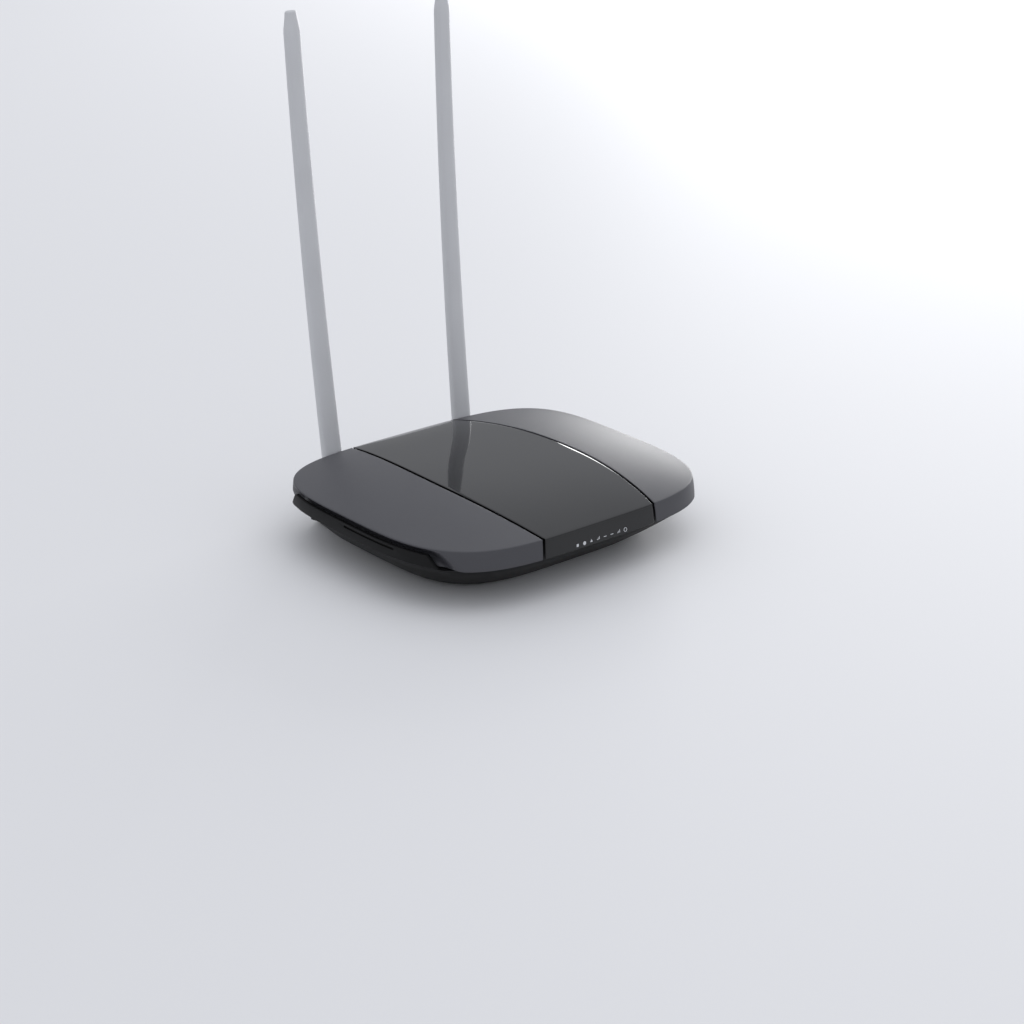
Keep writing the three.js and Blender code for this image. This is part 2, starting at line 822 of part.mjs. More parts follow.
function bladeRing(length, wall) {
  const [width, thickness] = bladeSize(length);
  const middle = bladePoint(length);
  return Array.from({ length: bladeSides }, (_, index) => {
    const angle = (index / bladeSides) * 2 * Math.PI;
    const fullness = 2 / 2.5;
    const x = Math.sign(Math.cos(angle)) * Math.abs(Math.cos(angle)) ** fullness;
    const y = Math.sign(Math.sin(angle)) * Math.abs(Math.sin(angle)) ** fullness;
    return [(width / 2 - wall) * x, middle.y + (thickness / 2 - wall) * y, middle.z];
  });
}

function lengthsBetween(start, end, steps) {
  return Array.from({ length: steps + 1 }, (_, index) => start + ((end - start) * index) / steps);
}

function sleeve() {
  const outside = [
    ...lengthsBetween(sleeveStart, antennaLength - tipTaper, 6),
    antennaLength - 2,
    antennaLength - 0.6,
  ].map((length) => bladeRing(length, 0));
  outside.push(bladeRing(antennaLength, 1.1));
  const hollowEnd = antennaLength - tipTaper - 6;
  const inside = lengthsBetween(sleeveStart - 1, hollowEnd, 5).map((length) =>
    bladeRing(length, bladeWall),
  );
  return loft(outside).subtract(loft(inside));
}

function radiator() {
  const path = new THREE.CatmullRomCurve3(lengthsBetween(34, 150, 6).map(bladePoint));
  const section = new THREE.Shape().absarc(0, 0, 1, 0, 2 * Math.PI);
  const options = { steps: 6, curveSegments: 5, extrudePath: path, bevelEnabled: false };
  return solid(new THREE.ExtrudeGeometry(section, options));
}

function knuckle() {
  const halfWidth = eyeWidth / 2;
  let shape = rodX(0, 0, eyeRadius, -halfWidth, halfWidth);
  shape = shape.add(box([-halfWidth, -2.6, 0], [halfWidth, 2.6, sleeveStart - 1]));
  const collar = [sleeveStart - 3, sleeveStart - gap].map((length) => bladeRing(length, 0.1));
  const plugEnd = sleeveStart + 14;
  const plug = [sleeveStart - 1, plugEnd].map((length) => bladeRing(length, bladeWall + gap));
  shape = shape.add(loft(collar)).add(loft(plug));
  return shape.subtract(rodX(0, 0, hingePin + pinClearance, -tall, tall));
}

// The swivel turns in the rear panel about y; its fork holds the hinge pin
function swivel() {
  const plate = gap;
  const outer = eyeWidth / 2 + gap + earThickness;
  const rootY = hingeReach - eyeRadius - 0.5;
  let shape = rodY(0, 0, swivelRadius, plate, plate + swivelPlate);
  shape = shape.add(rodY(0, 0, swivelBarrel, -panelThickness - 2.5, plate + 1));
  shape = shape.add(rodY(0, 0, swivelBarrel + 1.6, -panelThickness - 2.5, -panelThickness - gap));
  shape = shape.add(rodY(0, 0, swivelBarrel + 1.2, plate + 1, rootY));
  const fork = box([-outer, rootY - 3, -earRadius], [outer, hingeReach, earRadius]).add(
    rodX(hingeReach, 0, earRadius, -outer, outer),
  );
  const slit = eyeWidth / 2 + gap;
  shape = shape.add(fork).subtract(box([-slit, rootY, -9], [slit, tall, 9]));
  shape = shape.subtract(rodX(hingeReach, 0, hingePin + pinClearance, -tall, tall));
  return shape.subtract(rodY(0, 0, 1.3, -9, rootY - 2, 12));
}

function hingePinRod() {
  const outer = eyeWidth / 2 + gap + earThickness - 0.2;
  return rodX(0, 0, hingePin, -outer, outer);
}

function antenna(sideName, side) {
  const base = new THREE.Group();
  base.position.set(side * antennaX, panelFace, socketAxis);
  base.rotation.y = side * antennaSplay;
  base.add(part("antenna_" + sideName + "_swivel", swivel(), hingeGrey));
  const arm = new THREE.Group();
  arm.position.y = hingeReach;
  arm.add(part("antenna_" + sideName + "_pin", hingePinRod(), steel));
  const blade = new THREE.Group();
  blade.rotation.x = -antennaLean;
  blade.add(part("antenna_" + sideName + "_knuckle", knuckle(), hingeGrey));
  blade.add(part("antenna_" + sideName + "_sleeve", sleeve(), antennaGrey));
  blade.add(part("antenna_" + sideName + "_radiator", radiator(), brass));
  arm.add(blade);
  base.add(arm);
  return base;
}

// The lead runs from its pad on the board into the swivel's bore
function antennaLead(sideName, side) {
  const end = new THREE.Vector3(side * antennaX, panelInner - 1, socketAxis);
  const path = new THREE.CatmullRomCurve3([
    new THREE.Vector3(side * 33, 20, boardTop + 1.2),
    new THREE.Vector3(side * 34, 30, boardTop + 1.3),
    new THREE.Vector3(side * 38.5, 42, boardTop + 2.6),
    new THREE.Vector3(side * (antennaX - 1), 51, socketAxis - 0.6),
    new THREE.Vector3(end.x, end.y - 6, end.z),
    end,
  ]);
  const section = new THREE.Shape().absarc(0, 0, 0.65, 0, 2 * Math.PI);
  const options = { steps: 14, curveSegments: 4, extrudePath: path, bevelEnabled: false };
  const name = "antenna_" + sideName + "_lead";
  return part(name, solid(new THREE.ExtrudeGeometry(section, options)), cableGrey);
}

function labelPlate() {
  return part("label_plate", box([-24, 6, floorBottom - 0.4], [24, 36, floorBottom - 0.1]), labelSilver);
}

const router = new THREE.Group();
router.add(...covers(), topShell(), bottomCase(), rearPanel(), labelPlate());
router.add(mainBoard(), heatSink(), lampRow(), lightPipe(), ...feetAndScrews());
router.add(
  onBoard("processor", processorPlace, [17, 17, processorHeight], chipBlack),
  onBoard("memory_chip", [-28, 4], [11, 13, 1.1], chipBlack),
  onBoard("flash_chip", [-6, -22], [6, 5, 1.6], chipBlack),
  onBoard("radio_shield", [20, -6], [22, 26, 3], steel),
  onBoard("lan_magnetics", [-10, 36], [26, 10, 6], chipBlack),
  onBoard("wan_magnetics", [20.5, 37], [10, 8, 6], chipBlack),
  onBoard("clock_crystal", [-25, -12], [8, 4, 2.4], steel),
  capacitor("input_capacitor", 46, 32, 4, 12),
  capacitor("output_capacitor", 45, 22, 3.2, 9),
  capacitor("core_capacitor", -27, -24, 3.2, 8),
);
router.add(networkJack("lan_jacks", lanEdges, portXs.slice(0, lanPorts), socketYellow));
router.add(networkJack("wan_jack", wanEdges, portXs.slice(lanPorts), socketBlue));
router.add(...powerJack());
router.add(button("power_button", powerButtonX), button("reset_button", resetButtonX));
router.add(buttonSwitch("power_switch", powerButtonX), buttonSwitch("reset_switch", resetButtonX));
for (const [sideName, side] of [
  ["left", -1],
  ["right", 1],
]) {
  router.add(antenna(sideName, side), antennaLead(sideName, side));
}

// The model's origin is the middle of its base
const extent = new THREE.Box3().setFromObject(router, true);
router.position.y = -(extent.min.y + extent.max.y) / 2;
const model = new THREE.Group();
model.add(router);

export default model;
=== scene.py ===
import json
import math
import bpy
import numpy as np
from mathutils import Matrix, Vector


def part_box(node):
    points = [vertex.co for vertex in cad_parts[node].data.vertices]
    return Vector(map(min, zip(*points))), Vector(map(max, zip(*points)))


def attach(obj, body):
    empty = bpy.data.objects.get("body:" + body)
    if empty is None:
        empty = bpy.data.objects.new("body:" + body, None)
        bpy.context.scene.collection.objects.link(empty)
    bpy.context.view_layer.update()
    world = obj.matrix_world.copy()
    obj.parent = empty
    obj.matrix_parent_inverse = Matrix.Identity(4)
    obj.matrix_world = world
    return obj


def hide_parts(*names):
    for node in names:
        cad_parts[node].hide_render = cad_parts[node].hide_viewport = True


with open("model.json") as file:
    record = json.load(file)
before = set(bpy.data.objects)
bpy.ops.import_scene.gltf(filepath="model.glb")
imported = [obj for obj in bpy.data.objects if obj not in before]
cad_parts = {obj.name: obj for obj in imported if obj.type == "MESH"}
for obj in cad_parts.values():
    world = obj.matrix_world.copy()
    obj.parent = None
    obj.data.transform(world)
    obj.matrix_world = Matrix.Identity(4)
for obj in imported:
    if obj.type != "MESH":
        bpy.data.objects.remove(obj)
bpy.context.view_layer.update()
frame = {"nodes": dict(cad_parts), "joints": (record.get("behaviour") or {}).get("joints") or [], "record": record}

mm = 0.001
nodes = frame["nodes"]


# Working with pieces

def selectOnly(*pieces):
    bpy.ops.object.select_all(action="DESELECT")
    for piece in pieces:
        piece.select_set(True)
    bpy.context.view_layer.objects.active = pieces[-1]


def inEditMode(piece, work):
    selectOnly(piece)
    bpy.ops.object.mode_set(mode="EDIT")
    bpy.ops.mesh.select_all(action="SELECT")
    work()
    bpy.ops.object.mode_set(mode="OBJECT")


def mergePoints(piece, distance=0.00001):
    inEditMode(piece, lambda: bpy.ops.mesh.remove_doubles(threshold=distance))


def turnOutwards(piece):
    inEditMode(piece, lambda: bpy.ops.mesh.normals_make_consistent(inside=False))


def modify(piece, kind, **settings):
    selectOnly(piece)
    step = piece.modifiers.new(kind.title(), kind)
    for name, value in settings.items():
        setattr(step, name, value)
    bpy.ops.object.modifier_apply(modifier=step.name)


def roundEdges(piece, width, segments=2, angle=40):
    modify(piece, "BEVEL", width=width, segments=segments, limit_method="ANGLE",
           angle_limit=math.radians(angle), use_clamp_overlap=True)


def join(name, pieces):
    selectOnly(*pieces)
    bpy.ops.object.join()
    whole = bpy.context.object
    whole.name = name
    return whole


def copyOf(piece, name, turn=Matrix()):
    twin = bpy.data.objects.new(name, piece.data.copy())
    bpy.context.scene.collection.objects.link(twin)
    twin.data.transform(turn)
    return twin


def finishPiece(piece, body, slotName, finish, *replaced, smoothAngle=35):
    selectOnly(piece)
    bpy.ops.object.transform_apply(location=True, rotation=True, scale=True)
    bpy.ops.object.shade_smooth_by_angle(angle=math.radians(smoothAngle))
    piece.data.materials.clear()
    piece.data.materials.append(finish)
    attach(piece, body)
    if replaced:
        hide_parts(*replaced)
    return piece


# A grid whose points are set from their place across and along it, each from 0 to 1
def shapedGrid(name, columns, rows, shape):
    bpy.ops.object.select_all(action="DESELECT")
    bpy.ops.mesh.primitive_grid_add(x_subdivisions=columns, y_subdivisions=rows, size=1)
    piece = bpy.context.object
    piece.name = name
    flat = np.empty(len(piece.data.vertices) * 3)
    piece.data.vertices.foreach_get("co", flat)
    flat = flat.reshape(-1, 3)
    placed = shape(flat[:, 0] + 0.5, flat[:, 1] + 0.5)
    piece.data.vertices.foreach_set("co", (placed * mm).ravel())
    piece.data.update()
    mergePoints(piece)
    return piece


# Materials: a value is one socket of a material, and arithmetic on it adds Math nodes

class Value:
    def __init__(self, finish, socket):
        self.finish = finish
        self.socket = socket

    def maths(self, operation, first, second):
        return self.finish.node("ShaderNodeMath", {"operation": operation}, {0: first, 1: second})

    def __add__(self, other):
        return self.maths("ADD", self, other)

    def __radd__(self, other):
        return self.maths("ADD", other, self)

    def __sub__(self, other):
        return self.maths("SUBTRACT", self, other)

    def __rsub__(self, other):
        return self.maths("SUBTRACT", other, self)

    def __mul__(self, other):
        return self.maths("MULTIPLY", self, other)

    def __rmul__(self, other):
        return self.maths("MULTIPLY", other, self)


class Finish:
    def __init__(self, name, roughness, color, **shaderValues):
        self.material = bpy.data.materials.new(name)
        self.material.use_nodes = True
        self.tree = self.material.node_tree
        self.tree.nodes.clear()
        self.shader = self.tree.nodes.new("ShaderNodeBsdfPrincipled")
        output = self.tree.nodes.new("ShaderNodeOutputMaterial")
        self.tree.links.new(self.shader.outputs["BSDF"], output.inputs["Surface"])
        self.place = self.node("ShaderNodeTexCoord", {}, {}, "Object")
        self.color = color
        self.set("Base Color", (*color, 1))
        self.set("Roughness", roughness)
        for label, value in shaderValues.items():
            self.set(label.replace("_", " "), value)

    def set(self, label, value):
        self.join(self.shader.inputs[label], value)

    def join(self, socket, value):
        if isinstance(value, Value):
            self.tree.links.new(value.socket, socket)
        else:
            socket.default_value = value

    # A node of any type: its settings first, then its sockets' values or links
    def node(self, kind, settings, inputs, result=0):
        made = self.tree.nodes.new(kind)
        for label, value in settings.items():
            if label == "stops":
                for index, (position, shade) in enumerate(value):
                    stop = made.color_ramp.elements[index]
                    stop.position = position
                    stop.color = (shade, shade, shade, 1)
            else:
                setattr(made, label, value)
        for label, value in inputs.items():
            self.join(made.inputs[label], value)
        return Value(self, made.outputs[result])

    def noise(self, scale, detail=2, stretch=(1, 1, 1)):
        place = self.node("ShaderNodeMapping", {}, {"Vector": self.place, "Scale": stretch})
        inputs = {"Vector": place, "Scale": scale, "Detail": detail}
        return self.node("ShaderNodeTexNoise", {}, inputs, "Fac")

    def tint(self, factor, shade):
        inputs = {0: factor, 6: (*self.color, 1), 7: (*shade, 1)}
        return self.node("ShaderNodeMix", {"data_type": "RGBA"}, inputs, 2)

    def bump(self, height, distance, strength, under=None):
        inputs = {"Height": height, "Distance": distance, "Strength": strength}
        if under:
            inputs["Normal"] = under
        return self.node("ShaderNodeBump", {}, inputs)


plasticForm = {"cloudScale": 38, "wearScale": 260, "sheen": 0.05, "lighter": 1.25,
               "cloudDepth": 0.00002}


# Moulded plastic: a fine spark-eroded grain, slow changes of gloss and faint handling marks
def mouldedPlastic(name, color, roughness, grainScale, grainDepth, **shaderValues):
    finish = Finish(name, roughness, color, **shaderValues)
    sheen = plasticForm["sheen"]
    grain = finish.noise(grainScale, 3)
    cloud = finish.noise(plasticForm["cloudScale"], 2)
    wear = finish.noise(plasticForm["wearScale"], 4)
    finish.set("Roughness", roughness + sheen * (cloud - 0.5) + 0.5 * sheen * (wear - 0.5))
    lighter = tuple(min(1, channel * plasticForm["lighter"] + 0.002) for channel in color)
    finish.set("Base Color", finish.tint(cloud * 0.6 + grain * 0.3, lighter))
    fine = finish.bump(grain, grainDepth, 0.5)
    finish.set("Normal", finish.bump(cloud, plasticForm["cloudDepth"], 0.15, fine))
    return finish.material


# Piano black: nearly mirror smooth, with the slow waviness of a polished moulding
def pianoBlack(name, values):
    finish = Finish(name, values["roughness"], values["color"])
    finish.set("Specular IOR Level", values["specular"])
    wave = finish.noise(values["waveScale"], 1)
    haze = finish.noise(values["hazeScale"], 4)
    smear = finish.noise(values["smearScale"], 3, (1, 0.35, 1))
    finish.set("Roughness", values["roughness"] + values["haze"] * smear * haze)
    dust = finish.node("ShaderNodeMapRange", {},
                       {"Value": finish.noise(values["dustScale"], 1), "From Min": 0.72,
                        "From Max": 0.82})
    finish.set("Base Color", finish.tint(dust * 0.5, (0.05, 0.05, 0.052)))
    finish.set("Normal", finish.bump(wave, values["waveDepth"], 0.3))
    return finish.material


metalForm = {"streakScale": 1400, "stainScale": 220, "darker": 0.72}


def metal(name, color, roughness, stretch=(1, 1, 1)):
    finish = Finish(name, roughness, color, Metallic=1.0)
    streak = finish.noise(metalForm["streakScale"], 3, stretch)
    stain = finish.noise(metalForm["stainScale"], 3)
    finish.set("Roughness", roughness + 0.14 * (streak - 0.5) + 0.1 * (stain - 0.5))
    darker = tuple(channel * metalForm["darker"] for channel in color)
    finish.set("Base Color", finish.tint(stain * 0.5, darker))
    finish.set("Normal", finish.bump(streak, 0.00001, 0.2))
    return finish.material


# Circuit board: green varnish over copper areas that show as slightly raised, lighter fields
def circuitBoard(name):
    finish = Finish(name, 0.38, (0.006, 0.07, 0.03))
    field = finish.node("ShaderNodeTexVoronoi", {"distance": "CHEBYCHEV"},
                        {"Vector": finish.place, "Scale": 260.0}, "Distance")
    track = finish.node("ShaderNodeMapRange", {},
                        {"Value": field, "From Min": 0.38, "From Max": 0.42})
    finish.set("Base Color", finish.tint(track, (0.012, 0.14, 0.05)))
    finish.set("Roughness", 0.38 + 0.12 * (finish.noise(300) - 0.5))
    finish.set("Normal", finish.bump(track, 0.00003, 0.4))
    return finish.material


def clearPlastic(name):
    finish = Finish(name, 0.2, (0.82, 0.86, 0.9))
    finish.set("Transmission Weight", 0.35)
    finish.set("IOR", 1.49)
    frost = finish.noise(1800, 2)
    finish.set("Roughness", 0.2 + 0.2 * frost)
    finish.set("Base Color", finish.tint(frost * 0.5, (0.95, 0.96, 0.97)))
    finish.set("Normal", finish.bump(frost, 0.00001, 0.2))
    return finish.material


# A printed foil label: bare silver with soft lighter patches instead of any wording
def foilLabel(name):
    finish = Finish(name, 0.34, (0.56, 0.57, 0.58))
    grain = finish.noise(1500, 3)
    finish.set("Roughness", 0.34 + 0.15 * (grain - 0.5))
    finish.set("Metallic", 0.35 + 0.2 * finish.noise(90))
    finish.set("Base Color", finish.tint(finish.noise(60) * 0.5, (0.68, 0.69, 0.7)))
    finish.set("Normal", finish.bump(grain, 0.00001, 0.25))
    return finish.material


wingFinish = {"color": (0.048, 0.048, 0.055), "roughness": 0.47}
panelFinish = {"color": (0.0045, 0.0045, 0.005), "roughness": 0.035, "haze": 0.05,
               "specular": 0.5, "waveScale": 45, "waveDepth": 0.00003, "hazeScale": 900,
               "smearScale": 30, "dustScale": 2600}
antennaFinish = {"color": (0.52, 0.525, 0.54), "roughness": 0.42}

finishes = {
    "satin_black": mouldedPlastic("satinBlack", wingFinish["color"], wingFinish["roughness"],
                                  3800, 0.00003),
    "gloss_black": pianoBlack("pianoBlack", panelFinish),
    "inner_black": mouldedPlastic("innerBlack", (0.006, 0.006, 0.0065), 0.6, 2500, 0.00004),
    "matt_black": mouldedPlastic("mattBlack", (0.004, 0.004, 0.0042), 0.5, 2600, 0.00006,
                                 Specular_IOR_Level=0.2),
    "button_grey": mouldedPlastic("buttonGrey", (0.045, 0.045, 0.05), 0.4, 3600, 0.00003),
    "rubber": mouldedPlastic("rubber", (0.012, 0.012, 0.012), 0.85, 1500, 0.00008),
    "antenna_grey": mouldedPlastic("antennaGrey", antennaFinish["color"],
                                   antennaFinish["roughness"], 3400, 0.00003),
    "hinge_grey": mouldedPlastic("hingeGrey", (0.15, 0.152, 0.16), 0.45, 3400, 0.00003),
    "steel": metal("steel", (0.55, 0.56, 0.57), 0.32),
    "brass": metal("brass", (0.72, 0.5, 0.2), 0.28),
    "aluminium": metal("aluminium", (0.6, 0.61, 0.63), 0.4, (1, 12, 1)),
    "board_green": circuitBoard("circuitBoard"),
    "chip_black": mouldedPlastic("chipBlack", (0.014, 0.014, 0.015), 0.5, 1800, 0.00003),
    "socket_yellow": mouldedPlastic("socketYellow", (0.68, 0.46, 0.02), 0.4, 3000, 0.00002),
    "socket_blue": mouldedPlastic("socketBlue", (0.02, 0.1, 0.38), 0.4, 3000, 0.00002),
    "clear_plastic": clearPlastic("clearPlastic"),
    "cable_grey": mouldedPlastic("cableGrey", (0.09, 0.09, 0.095), 0.5, 2600, 0.00003),
    "label_silver": foilLabel("foilLabel"),
    "mark_white": mouldedPlastic("markWhite", (0.55, 0.56, 0.58), 0.5, 3000, 0.00001),
}
print("finishes made:", len(finishes))


# The body's form, in millimetres, as the frame has it

bodyForm = {
    "half": 93.5,
    "frontReach": 75.5,
    "rearReach": 76.5,
    "sidePower": 4.0,
    "frontPower": 3.2,
    "rearPower": 4.4,
    "bandFlare": 1.6,
    "bandBottom": 20.7,
    "bandHeight": 9.8,
    "domeRise": 8.6,
    "domeFrontPower": 2.27,
    "domeSidePower": 2.6,
}
half = bodyForm["half"]
crease = bodyForm["bandBottom"] + bodyForm["bandHeight"]
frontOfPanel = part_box("centre_panel")[0].y / mm
shiftY = frontOfPanel + bodyForm["frontReach"] + bodyForm["bandFlare"]


def smoothStep(value):
    t = np.clip(value, 0, 1)
    return t * t * (3 - 2 * t)


# A smooth curve through a few points
def curveThrough(xs, ys, at):
    xs, ys = np.array(xs, float), np.array(ys, float)
    slopes = np.gradient(ys, xs)
    index = np.clip(np.searchsorted(xs, at) - 1, 0, len(xs) - 2)
    span = xs[index + 1] - xs[index]
    t = (at - xs[index]) / span
    a = ys[index] * (1 + 2 * t) * (1 - t) ** 2 + slopes[index] * span * t * (1 - t) ** 2
    b = ys[index + 1] * t * t * (3 - 2 * t) + slopes[index + 1] * span * t * t * (t - 1)
    return a + b


def reachAt(y):
    return np.where(y < 0, bodyForm["frontReach"], bodyForm["rearReach"])


def powerAt(y):
    return np.where(y < 0, bodyForm["frontPower"], bodyForm["rearPower"])


def edgeAt(x, side):
    share = 1 - np.minimum(np.abs(x) / half, 1) ** bodyForm["sidePower"]
    return side * reachAt(side) * share ** (1 / powerAt(side))


def domeAt(x, y):
    edge = np.maximum(np.abs(edgeAt(x, np.where(y < 0, -1, 1))), 1e-6)
    across = 1 - np.minimum(np.abs(x) / half, 1) ** bodyForm["domeSidePower"]
    along = 1 - np.minimum(np.abs(y) / edge, 1) ** bodyForm["domeFrontPower"]
    return bodyForm["domeRise"] * across * along


# The right half of the outline as shares of its half width and reach, front to rear
turns = np.linspace(-math.pi / 2, math.pi / 2, 8001)
outlineX = np.cos(turns).clip(0) ** (2 / bodyForm["sidePower"])
outlineY = np.sign(turns) * np.abs(np.sin(turns)) ** (2 / powerAt(turns))
steps = np.hypot(np.diff(outlineX) * half, np.diff(outlineY * reachAt(outlineY)))
outlineLength = np.concatenate([[0], np.cumsum(steps)])


def outlineAt(length):
    x = np.interp(length, outlineLength, outlineX)
    y = np.interp(length, outlineLength, outlineY)
    return x, y


# The grooves that part the centre panel from the wings

seamForm = {"front": 36.6, "rear": 33.9, "bow": 8.3, "groove": 1.5}
seamFrontY = float(edgeAt(seamForm["front"], -1))
seamRearY = float(edgeAt(seamForm["rear"], 1))


def seamX(y):
    share = (y - seamFrontY) / (seamRearY - seamFrontY)
    straight = seamForm["front"] + (seamForm["rear"] - seamForm["front"]) * share
    return straight + seamForm["bow"] * 4 * share * (1 - share)


# The lengths round the outline at which a ring of it, scaled, meets a groove's edge
def seamMeets(scale, shift):
    x = outlineX * half * scale
    y = outlineY * reachAt(outlineY) * scale
    beyond = x - seamX(y) - shift
    found = np.nonzero(np.diff(np.sign(beyond)))[0]
    ends = []
    for index in (found[0], found[-1]):
        share = beyond[index] / (beyond[index] - beyond[index + 1])
        start, end = outlineLength[index], outlineLength[index + 1]
        ends.append(start + share * (end - start))
    return ends


# The cover's band: how far it draws in and how deep the side scoop goes, by height

bandForm = {
    "rises": [0, 0.22, 0.52, 0.76, 0.88, 0.95, 1],
    "flares": [1, 0.78, 0.5, 0.25, 0.09, 0, 0],
    "scoops": [0.84, 1, 0.96, 0.6, 0.14, 0, 0],
    "scoopDepth": 5.2,
    "scoopHalfLength": 64,
    "scoopSlant": 9,
    "scoopFade": 9,
    "roundFrom": 0.945,
    "roundTo": 0.9915,
}


def bandInset(x, y, rise):
    flare = bodyForm["bandFlare"] * (1 - smoothStep((y - 0.55) / 0.35))
    inset = -flare * curveThrough(bandForm["rises"], bandForm["flares"], rise)
    depth = np.clip(curveThrough(bandForm["rises"], bandForm["scoops"], rise), 0, 1)
    along = np.abs(y) * reachAt(y)
    reach = bandForm["scoopHalfLength"] - bandForm["scoopSlant"] * rise - along
    share = np.where(np.abs(x) < 0.5, 0, smoothStep(reach / bandForm["scoopFade"]))
    return inset + bandForm["scoopDepth"] * depth * share


def bandPoint(x, y, rise):
    inset = bandInset(x, y, rise)
    height = bodyForm["bandBottom"] + bodyForm["bandHeight"] * rise
    return np.stack([x * (half - inset), y * (reachAt(y) - inset), height + 0 * x], 1)


def domePoint(x, y):
    return np.stack([x, y, crease + domeAt(x, y)], 1)


# The rounded edge between the band and the dome
def edgePoint(share, x, y, innerX, innerY):
    start = bandPoint(x, y, bandForm["roundFrom"] + 0 * x)
    corner = np.stack([x * half, y * reachAt(y), crease + 0 * x], 1)
    end = domePoint(innerX, innerY)
    t = share[:, None]
    return start * (1 - t) ** 2 + corner * 2 * t * (1 - t) + end * t * t


skinForm = {"thickness": 1.6, "edge": 0.28, "lensEnd": 14}
wingColumns = {"top": 40, "edge": 6, "band": 24}
wingRows = 190


def wingShape(side):
    scale = bandForm["roundTo"]
    shift = seamForm["groove"] / 2
    topEnds, bandEnds = seamMeets(scale, shift), seamMeets(1, shift)
    count = sum(wingColumns.values())

    def shape(across, along):
        if side < 0:
            along = 1 - along
        column = across * count
        topX, topY = outlineAt(topEnds[0] + (topEnds[1] - topEnds[0]) * along)
        x, y = outlineAt(bandEnds[0] + (bandEnds[1] - bandEnds[0]) * along)
        rimX, rimY = topX * half * scale, topY * reachAt(topY) * scale
        endY = outlineAt(np.array(topEnds))[1]
        endYs = endY * reachAt(endY) * scale
        seamY = endYs[0] + skinForm["lensEnd"]
        seamY = seamY + (endYs[1] - skinForm["lensEnd"] - seamY) * along
        share = np.clip(column / wingColumns["top"], 0, 1)
        topYs = seamY + (rimY - seamY) * share
        startX = seamX(seamY) + shift
        topXs = startX + (rimX - startX) * share
        onEnd = (along < 1e-6) | (along > 1 - 1e-6)
        topXs = np.where(onEnd, seamX(topYs) + shift, topXs)
        top = domePoint(topXs, topYs)
        turn = np.clip((column - wingColumns["top"]) / wingColumns["edge"], 0, 1)
        edge = edgePoint(1 - turn, x, y, rimX, rimY)
        lower = column - wingColumns["top"] - wingColumns["edge"]
        fall = np.clip(lower / wingColumns["band"], 0, 1)
        band = bandPoint(x, y, bandForm["roundFrom"] * (1 - fall))
        placed = np.where((turn > 0)[:, None], edge, top)
        placed = np.where((fall > 0)[:, None], band, placed)
        placed[:, 0] *= side
        placed[:, 1] += shiftY
        return placed

    return shape


def makeSkin(name, columns, rows, shape):
    skin = shapedGrid(name, columns, rows, shape)
    modify(skin, "SOLIDIFY", thickness=skinForm["thickness"] * mm, offset=-1,
           use_even_offset=True, thickness_clamp=1.0)
    modify(skin, "BEVEL", width=skinForm["edge"] * mm, segments=3, limit_method="ANGLE",
           angle_limit=math.radians(50), use_clamp_overlap=False)
    return skin


for name, side in (("left_wing", -1), ("right_wing", 1)):
    wing = makeSkin("wingCover_" + name[:-5], sum(wingColumns.values()), wingRows, wingShape(side))
    finishPiece(wing, "casing", "satin_black", finishes["satin_black"], name, smoothAngle=40)
print("wings done")


# Centre panel: the same dome and edges between the two grooves

panelForm = {"across": 64, "top": 110, "edge": 6, "band": 20}


def panelShape(across, along):
    scale = bandForm["roundTo"]
    shift = -seamForm["groove"] / 2
    count = panelForm["top"] + 2 * (panelForm["edge"] + panelForm["band"])
    row = along * count
    spread = across * 2 - 1
    rear = row > count / 2
    fromEnd = np.where(rear, count - row, row)
    fall = 1 - np.clip(fromEnd / panelForm["band"], 0, 1)
    turn = np.clip((fromEnd - panelForm["band"]) / panelForm["edge"], 0, 1)
    side = np.where(rear, 1.0, -1.0)
    share = np.clip((row - panelForm["band"] - panelForm["edge"]) / panelForm["top"], 0, 1)
    x = spread * seamForm["front"]
    for _ in range(8):
        front, back = scale * edgeAt(x / scale, -1), scale * edgeAt(x / scale, 1)
        y = front + (back - front) * share
        x = spread * (seamX(y) + shift)
    top = domePoint(x, y)
    outerX = spread * seamForm["front"]
    for _ in range(8):
        outerX = spread * (seamX(edgeAt(outerX, side)) + shift)
    shareX, shareY = outerX / half, edgeAt(outerX, side) / reachAt(side)
    rimX = spread * seamForm["front"]
    for _ in range(8):
        rimY = scale * edgeAt(rimX / scale, side)
        rimX = spread * (seamX(rimY) + shift)
    edge = edgePoint(turn, shareX, shareY, rimX, rimY)
    band = bandPoint(shareX, shareY, bandForm["roundFrom"] * (1 - fall))
    placed = np.where((turn < 1)[:, None], edge, top)
    placed = np.where((fall > 0)[:, None], band, placed)
    placed[:, 1] += shiftY
    return placed


panelRows = panelForm["top"] + 2 * (panelForm["edge"] + panelForm["band"])
centrePanel = makeSkin("centrePanel", panelForm["across"], panelRows, panelShape)

finishPiece(centrePanel, "casing", "gloss_black", finishes["gloss_black"], "centre_panel",
            smoothAngle=40)
print("centre panel done")


# Antenna blades: a flattened tube that tapers and straightens towards a rounded tip

bladeForm = {
    "start": 9, "length": 241.5, "curve": math.radians(4.5), "lean": math.radians(9.3),
    "splay": math.radians(1.05), "root": (11.4, 6.9), "tip": (8.8, 5.5), "taper": 11,
    "endDraw": (0.34, 0.16), "fullness": 2 / 2.5, "around": 56, "rows": 120, "crowding": 1.8,
    "tipRound": 1.3,
}


